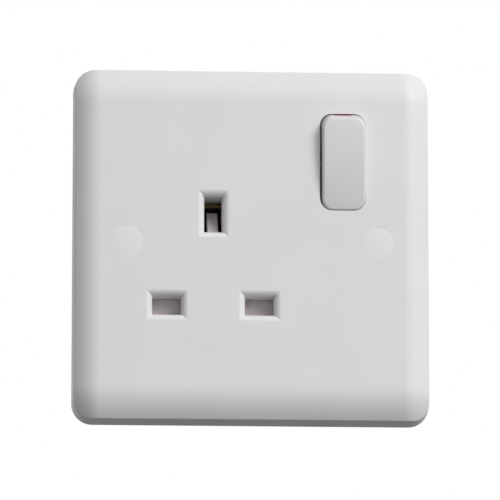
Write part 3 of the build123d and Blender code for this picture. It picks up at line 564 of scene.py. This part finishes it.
@dataclass(frozen=True)
class CoilSpring:
    """A compression spring of round wire, its end turns closed up and ground flat. In millimetres."""

    name: str
    node: str
    body: str
    joint: str
    foot: Triple
    axis: Triple
    length: float
    radius: float
    wire: float
    turns: float
    fixed_end: float = 0.0
    seat_gap: float = 0.05
    closed_turns: float = 0.75
    opening_turns: float = 0.5
    end_lift: float = 0.3
    steps: int = 36
    sides: int = 12

    def shell(self) -> Shell:
        """Work out the wire's surface in the spring's own frame.

        The path is (R cos a, R sin a, h), where h rises by a wire for each turn near both ends and by
        an even pitch between, and the section is a circle on the outward and the sideways normals of
        the path. The path's ends lie less than half a wire from the seats, and heights are cut off at
        the two seats, which grinds the ends flat.

        Returns:
            The closed surface.
        """
        angle = np.linspace(0.0, tau * self.turns, int(self.steps * self.turns))
        turn = angle / tau
        from_end = np.minimum(turn, self.turns - turn)
        open_share = np.clip((from_end - self.closed_turns) / self.opening_turns, 0.0, 1.0)
        rise = np.concatenate(([0.0], np.cumsum((open_share[1:] + open_share[:-1]) / 2)))
        low, high = self.seat_gap, self.length - self.seat_gap
        closed = self.wire * turn
        lift = self.wire * self.end_lift
        spare = (high - low) - 2 * lift - closed[-1]
        height = low + lift + closed + spare * rise / rise[-1]
        outward = np.stack((np.cos(angle), np.sin(angle), np.zeros_like(angle)), axis=-1)
        path = outward * self.radius + np.outer(height, (0.0, 0.0, 1.0))
        sideways = np.cross(np.gradient(path, axis=0), outward)
        sideways /= np.linalg.norm(sideways, axis=1, keepdims=True)
        section = np.linspace(0.0, tau, self.sides, endpoint=False)[None, :, None]
        round_path = np.cos(section) * outward[:, None] + np.sin(section) * sideways[:, None]
        rings = path[:, None] + self.wire / 2 * round_path
        caps = [np.repeat(path[end][None, None], self.sides, axis=1) for end in (0, -1)]
        points = np.concatenate((caps[0], rings, caps[1]))
        points[..., 2] = np.clip(points[..., 2], low, high)
        return Shell(points.reshape(-1, 3), ring_faces(len(points), self.sides))

    def build(self, workshop: Workshop) -> None:
        """Seat the spring on its body."""
        along = Vector(self.axis).normalized()
        across = along.orthogonal().normalized()
        up = along.cross(across)
        shell = self.shell().placed(self.foot, tuple(across), tuple(up), tuple(along))
        piece = workshop.piece(self.name, [shell], self.body, "spring_steel", [self.node])
        anchor = (Vector(self.foot) + along * self.fixed_end) * MM
        keep = 1.0 - JOINTS.travel(self.joint) / self.length
        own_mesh(piece)


class Facing(Enum):
    """The way that a screw's head looks, as the directions of its u, v and s axes."""

    FRONT = ((1.0, 0.0, 0.0), (0.0, 0.0, 1.0), (0.0, -1.0, 0.0))
    REAR = ((-1.0, 0.0, 0.0), (0.0, 0.0, 1.0), (0.0, 1.0, 0.0))


@dataclass(frozen=True)
class SlottedScrews:
    """A set of like screws with a cut thread and a slotted pan head. In millimetres.

    Each place is a screw's x and z, and the turn of its slot in degrees.
    """

    name: str
    node: str
    facing: Facing
    tip: float
    places: tuple[Triple, ...]
    length: float
    thread_r: float
    root_r: float
    pitch: float
    neck: float
    neck_r: float
    head_r: float
    head_height: float
    slot: float = 0.9
    slot_margin: float = 0.5
    edge: float = 0.12
    dome: float = 0.3
    side_power: int = 40
    root_flat: float = 0.14
    flank: float = 0.72
    fade_turns: float = 1.5
    tip_share: float = 0.5
    tip_slope: float = 0.5
    columns: int = 27
    rows: int = 23
    pitch_steps: int = 10

    def head(self) -> tuple[Shell, np.ndarray]:
        """Work out the top of the head and the ring that it ends on.

        The top is a sheet of columns at places u across the slot and rows v = t sqrt(R R - u u). Its
        height above the ring is half the head times a steep side sqrt(1 - (r / R)^n) and a shallow
        dome 1 - (r / R)^2, by their shares, and nothing inside the slot, whose two edges have a column
        of points above and one below.

        Returns:
            The sheet, and the angles of the points on its edge in order.
        """
        u = -self.head_r * np.cos(np.linspace(0.0, pi, self.columns))
        half = self.slot / 2
        u = u[np.abs(np.abs(u) - half) > half * self.slot_margin]
        u = np.sort(np.concatenate((u, (-half, -half, half, half))))
        inside = np.abs(u) < half
        inside[np.flatnonzero(u == -half)[1]] = True
        inside[np.flatnonzero(u == half)[0]] = True
        share = np.sin(np.linspace(-pi / 2, pi / 2, self.rows))
        v = np.outer(share, np.sqrt(np.maximum(self.head_r**2 - u**2, 0.0)))
        radius = np.minimum(np.hypot(u[None], v) / self.head_r, 1.0)
        side = np.sqrt(1.0 - radius**self.side_power)
        rise = (1.0 - self.dome) * side + self.dome * (1.0 - radius**2)
        lift = self.head_height / 2 * rise * ~inside[None]
        base = self.length + self.head_height / 2
        points = np.stack((np.broadcast_to(u, v.shape), v, base + lift), axis=-1)
        edge = np.concatenate((points[0], points[-1, -2:0:-1]))
        return Shell(points.reshape(-1, 3), sheet_faces(*v.shape)), np.arctan2(edge[:, 1], edge[:, 0])

    def shank(self, angle: np.ndarray) -> Shell:
        """Work out the head's side, its seat, the neck and the thread down to the tip.

        The thread's radius is its root plus its depth times a wave of s / pitch - a / 2 pi, flat at
        the root and at the crest. It fades out at the neck, and the tip's cone cuts it off.

        Args:
            angle: the angles of the points on each ring.

        Returns:
            The surface from the head's ring to the tip's middle.
        """
        collar = (
            (self.head_r, self.length + self.head_height / 2), (self.head_r, self.length + self.edge),
            (self.head_r - self.edge, self.length), (self.neck_r, self.length),
        )
        top = self.length - self.neck
        s = np.linspace(top, 0.0, int(top / self.pitch * self.pitch_steps))[:, None]
        phase = np.abs((s / self.pitch - angle[None] / tau) % 1.0 - 0.5) * 2.0
        wave = np.clip((phase - self.root_flat) / self.flank, 0.0, 1.0)
        fade = np.clip((top - s) / (self.fade_turns * self.pitch), 0.0, 1.0)
        core = self.neck_r + (self.root_r - self.neck_r) * fade
        radius = core + (self.thread_r - self.root_r) * wave * fade
        radius = np.minimum(radius, self.thread_r * self.tip_share + s * self.tip_slope)
        collar_r, collar_s = (np.array(column)[:, None] for column in zip(*collar))
        flat = np.ones((1, len(angle)))
        radius = np.concatenate((collar_r * flat, radius, 0.0 * flat))
        height = np.concatenate((collar_s * flat, s * flat, 0.0 * flat))
        points = np.stack((radius * np.cos(angle), radius * np.sin(angle), height), axis=-1)
        return Shell(points.reshape(-1, 3), ring_faces(len(points), len(angle)))

    def build(self, workshop: Workshop) -> None:
        """Seat every screw of the set, each slot at its own angle."""
        top, angle = self.head()
        shank = self.shank(angle)
        shells = [
            part.placed((x, self.tip, z), *self.facing.value, turn)
            for x, z, turn in self.places for part in (top, shank)
        ]
        workshop.piece(self.name, shells, "socket", "zinc_steel", [self.node])


@dataclass(frozen=True)
class ScrewCap:
    """A press-in cover over a fixing screw: a shallow dome with a skirt. In millimetres and degrees."""

    side: str
    x: float
    foot: float = 8.4
    rim: float = 9.995
    crown: float = 10.13
    radius: float = 4.028
    wall: float = 0.8
    edge: float = 0.05
    edge_turn: float = 84.0
    dome_steps: int = 12
    steps: int = 96

    def build(self, workshop: Workshop) -> None:
        """Turn the cap: skirt, rounded rim, and a dome that falls as the square of the radius."""
        inner = self.radius - self.wall
        reach = self.radius - self.edge
        share = np.linspace(1.0, 0.0, self.dome_steps)
        dome = list(zip(reach * share, self.rim + (self.crown - self.rim) * (1.0 - share**2)))
        rim = rounded((reach, self.rim - self.edge), self.edge, self.edge_turn)
        profile = [(0.0, self.foot + self.wall), (inner, self.foot + self.wall), (inner, self.foot)]
        profile += [(self.radius, self.foot)] + rim + dome
        shell = turned(profile, self.steps).placed((self.x, 0.0, 0.0), *Facing.FRONT.value)
        workshop.piece(
            f"cap_{self.side}", [shell], "socket", "white_moulding", [f"screw_cap_{self.side}"],
            finish="cap_white",
        )


@dataclass(frozen=True)
class Rivet:
    """A contact rivet with a domed silver head and a spread tail. In millimetres."""

    name: str
    node: str
    body: str
    seat: Triple
    along: Triple
    head: float
    strip: float
    radius: float = 1.7
    side_share: float = 0.45
    tail_r: float = 0.8
    spread: float = 0.18
    lip: float = 0.02
    dome_steps: int = 10
    steps: int = 40

    def build(self, workshop: Workshop) -> None:
        """Turn the rivet: the head's side and a dome of (1 - (r / R)^2), then the tail through the strip."""
        side = self.head * self.side_share
        share = np.linspace(0.0, 1.0, self.dome_steps)
        tail_end = -self.strip - self.spread
        profile = list(zip(self.radius * share, side + (self.head - side) * (1.0 - share**2)))
        profile += [(self.radius, 0.0), (self.tail_r, 0.0), (self.tail_r, -self.strip)]
        profile += [(self.tail_r + self.spread, -self.strip - self.lip), (self.tail_r, tail_end)]
        profile += [(0.0, tail_end)]
        across = Vector((1.0, 0.0, 0.0))
        up = Vector(self.along).cross(across)
        shell = turned(profile, self.steps).placed(self.seat, tuple(across), tuple(up), self.along)
        workshop.piece(self.name, [shell], self.body, "silver_tip", [self.node])


@dataclass(frozen=True)
class EjectorMarks:
    """The faint round marks that the mould's ejector pins leave on the base's rear. In millimetres.

    Each place is a mark's x and z.
    """

    face: float = 16.4
    places: tuple[Pair, ...] = (
        (-26.0, 29.0), (-26.0, 12.0), (24.0, 29.0), (24.0, 10.5), (-21.0, -2.0), (18.5, -14.0),
    )
    radius: float = 1.6
    rim: float = 0.12
    rise: float = 0.05
    middle_share: float = 0.2
    steps: int = 40

    def build(self, workshop: Workshop) -> None:
        """Turn a low ring for each mark, with a middle a little lower than its rim."""
        inner = self.radius - self.rim
        middle = self.rise * self.middle_share
        profile = [(0.0, middle), (inner - self.rim, middle), (inner, self.rise)]
        profile += [(self.radius - self.rim / 2, self.rise), (self.radius, -self.rise), (0.0, -self.rise)]
        ring = turned(profile, self.steps)
        shells = [ring.placed((x, self.face, z), *Facing.REAR.value) for x, z in self.places]
        workshop.piece("base_ejector_marks", shells, "socket", "base_black")


@dataclass(frozen=True)
class Rocker:
    """The rocker, resting against the right side of its opening. In millimetres and degrees."""

    side_play: float = 0.21
    crease: float = 28.0

    def build(self, workshop: Workshop) -> None:
        """Copy the solid's surface, each point carried across by the play, and merge its triangles."""
        solid = frame["nodes"]["rocker"].data
        points = np.empty(len(solid.vertices) * 3)
        solid.vertices.foreach_get("co", points)
        corners = np.empty(len(solid.loops), dtype=np.int32)
        solid.loops.foreach_get("vertex_index", corners)
        shell = Shell(points.reshape(-1, 3) / MM + (self.side_play, 0.0, 0.0), corners.reshape(-1, 3))
        workshop.piece("rocker_moulding", [shell], "rocker", "rocker_white", ["rocker"], self.crease)


@dataclass(frozen=True)
class Switch:
    """The switch's small parts: the plunger's spring and the two rivets. In millimetres."""

    pivot: Triple = JOINTS.place("rocker_tip")
    fulcrum: Triple = JOINTS.place("see_saw_tip")
    outward: Triple = JOINTS.axis("plunger_slide")
    spring_foot: float = -1.5
    spring_length: float = 5.7
    spring_r: float = 1.25
    spring_wire: float = 0.35
    spring_turns: float = 6.5
    rivet_place: float = 8.6
    blade: float = 0.8
    strip: float = 0.7
    strip_front: float = 9.6
    moving_head: float = 1.0
    contact_gap: float = 0.02

    def build(self, workshop: Workshop) -> None:
        """Build the spring along the tilted rocker, and the rivets on the blade and on its strip.

        The blade tilts against the rocker, so its directions are the rocker's, mirrored.
        """
        outward = Vector(self.outward)
        CoilSpring(
            "plunger_coil", "plunger_spring", "rocker", "plunger_slide",
            foot=tuple(Vector(self.pivot) + outward * self.spring_foot), axis=self.outward,
            length=self.spring_length, radius=self.spring_r, wire=self.spring_wire,
            turns=self.spring_turns, fixed_end=self.spring_length,
        ).build(workshop)
        rear = Vector((0.0, -outward.y, outward.z))
        along_blade = Vector((0.0, -outward.z, -outward.y))
        seat = Vector(self.fulcrum) + along_blade * self.rivet_place + rear * (self.blade / 2)
        Rivet(
            "moving_rivet_domed", "moving_rivet", "moving_contact", tuple(seat), tuple(rear),
            self.moving_head, self.blade,
        ).build(workshop)
        tip = seat + rear * self.moving_head
        Rivet(
            "fixed_rivet_domed", "fixed_rivet", "socket", (self.pivot[0], self.strip_front, tip.z),
            (0.0, -1.0, 0.0), self.strip_front - tip.y - self.contact_gap, self.strip,
        ).build(workshop)


@dataclass(frozen=True)
class Shutter:
    """The sprung shutter's coil, between the faceplate's seat and the bar. In millimetres."""

    x: float = -9.4
    depth: float = -4.8
    seat: float = -29.03
    spring_length: float = 11.0
    spring_r: float = 1.6
    spring_wire: float = 0.4
    spring_turns: float = 8.5

    def build(self, workshop: Workshop) -> None:
        """Build the spring upright on its seat."""
        CoilSpring(
            "shutter_coil", "shutter_spring", "socket", "shutter_slide",
            foot=(self.x, self.depth, self.seat), axis=(0.0, 0.0, 1.0),
            length=self.spring_length, radius=self.spring_r, wire=self.spring_wire,
            turns=self.spring_turns,
        ).build(workshop)


@dataclass(frozen=True)
class Fastenings:
    """Every screw of the socket and the caps over the fixing screws. In millimetres and degrees."""

    fixing_x: float = 30.15
    fixing_turns: Pair = (16.0, -33.0)
    base_places: tuple[Triple, ...] = (
        (10.4, 21.0, 24.0), (10.4, -8.0, -38.0), (-15.3, 15.5, 71.0), (-15.3, -6.0, 9.0),
    )
    terminal_x: Triple = (-20.515, -9.4, 4.0)
    terminal_z: float = 28.3
    terminal_turns: Triple = (12.0, -27.0, 48.0)

    def build(self, workshop: Workshop) -> None:
        """Build the three sets of screws, and a cap for each fixing screw."""
        sides = {"left": -self.fixing_x, "right": self.fixing_x}
        SlottedScrews(
            "fixing_screws_cut", "fixing_screws", Facing.FRONT, tip=20.4,
            places=tuple((x, 0.0, turn) for x, turn in zip(sides.values(), self.fixing_turns)),
            length=25.0, thread_r=1.75, root_r=1.38, pitch=0.6, neck=4.6, neck_r=1.5,
            head_r=3.45, head_height=2.2,
        ).build(workshop)
        SlottedScrews(
            "base_screws_cut", "base_screws", Facing.REAR, tip=-6.5, places=self.base_places,
            length=19.9, thread_r=1.45, root_r=1.02, pitch=1.06, neck=0.6, neck_r=1.25,
            head_r=2.7, head_height=1.9,
        ).build(workshop)
        SlottedScrews(
            "terminal_screws_cut", "terminal_screws", Facing.REAR, tip=8.0,
            places=tuple((x, self.terminal_z, turn) for x, turn in zip(self.terminal_x, self.terminal_turns)),
            length=5.2, thread_r=1.95, root_r=1.55, pitch=0.7, neck=0.2, neck_r=1.7,
            head_r=2.6, head_height=1.6,
        ).build(workshop)
        for side, x in sides.items():
            ScrewCap(side, x).build(workshop)


@dataclass(frozen=True)
class Lamp:
    """A round soft lamp that looks at the object. Lengths are in metres and the power in watts."""

    name: str
    towards: Triple
    size: float
    power: float
    distance: float = 1.6
    mirrored: bool = True

    def hang(self) -> None:
        """Hang the lamp and turn it to the object."""
        light = bpy.data.lights.new(self.name, "AREA")
        light.shape = "DISK"
        light.size = self.size
        light.energy = self.power
        lamp = bpy.data.objects.new(self.name, light)
        out = Vector(self.towards).normalized()
        lamp.location = out * self.distance
        lamp.rotation_mode = "QUATERNION"
        lamp.rotation_quaternion = (-out).to_track_quat("-Z", "Y")
        lamp.visible_glossy = self.mirrored
        bpy.context.scene.collection.objects.link(lamp)


@dataclass(frozen=True)
class Studio:
    """Camera, lights, world and floor. Lengths are in metres and angles in degrees."""

    distance: float = 1.2
    azimuth: float = -3.6
    elevation: float = -10.0
    lens: float = 357.6
    aim: Triple = (-0.00004, 0.0, -0.00002)
    lamps: tuple[Lamp, ...] = (
        Lamp("key", (0.579, -0.666, 0.469), size=0.85, power=18.3),
        Lamp("fill", (0.131, -0.931, -0.342), size=2.4, power=4.9),
        Lamp("back", (0.1, 0.76, 0.64), size=1.0, power=24.0, mirrored=False),
    )
    ambient: float = 0.365
    lean: Triple = (0.10, -0.51, 0.0)
    floor_drop: float = 1.8
    floor_size: float = 16.0
    floor_shown: float = 0.90
    floor_bounce: float = 0.08
    floor_glow: float = 0.14

    def camera(self) -> None:
        """Stand the camera below and to the left of the plate's middle, and look at it."""
        turn, lift = radians(self.azimuth), radians(self.elevation)
        back = Vector((sin(turn) * cos(lift), -cos(turn) * cos(lift), sin(lift)))
        lens = bpy.data.cameras.new("camera")
        lens.lens = self.lens
        camera = bpy.data.objects.new("camera", lens)
        camera.location = Vector(self.aim) + back * self.distance
        camera.rotation_mode = "QUATERNION"
        camera.rotation_quaternion = (-back).to_track_quat("-Z", "Y")
        bpy.context.scene.collection.objects.link(camera)
        bpy.context.scene.camera = camera

    def shown(self, graph: Graph) -> Signal:
        """One for rays from the camera, from gloss and through glass, and zero for the light itself."""
        rays = ("Is Camera Ray", "Is Glossy Ray", "Is Transmission Ray")
        seen, mirrored, through = (graph.node("ShaderNodeLightPath", output=ray) for ray in rays)
        return seen.at_least(mirrored).at_least(through)

    def world(self) -> None:
        """White behind the object and in its reflections, and a soft grey light that leans one way.

        The light from a direction d is the ambient level times 1 + lean . d.
        """
        world = bpy.data.worlds.new("studio")
        world.use_nodes = True
        bpy.context.scene.world = world
        graph = Graph(world.node_tree)
        towards = graph.node("ShaderNodeTexCoord", output="Generated")
        leaning = graph.node(
            "ShaderNodeVectorMath", {"operation": "DOT_PRODUCT"}, {0: towards, 1: self.lean}, output="Value"
        )
        soft = (leaning + 1.0) * self.ambient
        shown = self.shown(graph)
        strength = shown + (1.0 - shown) * soft
        light = graph.node(
            "ShaderNodeBackground", None, {"Color": (1.0, 1.0, 1.0, 1.0), "Strength": strength}
        )
        graph.node("ShaderNodeOutputWorld", None, {"Surface": light})

    def floor(self) -> None:
        """Lay a plain pale floor well below the object, which throws little light back up."""
        half = self.floor_size / 2
        corners = np.array(((-1, -1), (1, -1), (1, 1), (-1, 1))) * half
        points = np.column_stack((corners, np.full(len(corners), -self.floor_drop)))
        mesh = bpy.data.meshes.new("floor")
        mesh.from_pydata(points.tolist(), [], [(0, 1, 2, 3)])
        floor = bpy.data.objects.new("floor", mesh)
        bpy.context.scene.collection.objects.link(floor)
        made, graph = new_material("floor_pale")
        shown = self.shown(graph)
        grey = graph.mix(shown, (self.floor_bounce,) * 3, (self.floor_shown,) * 3)
        shade = graph.node("ShaderNodeBsdfDiffuse", None, {"Color": grey})
        glow = graph.node("ShaderNodeEmission", None, {"Strength": shown * self.floor_glow})
        both = graph.node("ShaderNodeAddShader", None, {0: shade, 1: glow})
        graph.node("ShaderNodeOutputMaterial", None, {"Surface": both})
        mesh.materials.append(made)

    def set_up(self) -> None:
        """Set the stage and the plain colour transform."""
        bpy.context.scene.view_settings.view_transform = "Standard"
        self.camera()
        for lamp in self.lamps:
            lamp.hang()
        self.world()
        self.floor()


def main() -> None:
    """Dress the solids, add the fine pieces and set the stage."""
    logging.basicConfig(level=logging.INFO, format="%(message)s")
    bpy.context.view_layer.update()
    dresser = Dresser(frame["record"])
    dresser.dress_solids(frame["nodes"])
    workshop = Workshop(dresser)
    for assembly in (Rocker(), Switch(), Shutter(), Fastenings(), EjectorMarks()):
        assembly.build(workshop)
    Studio().set_up()


if __name__ == "__main__":
    main()
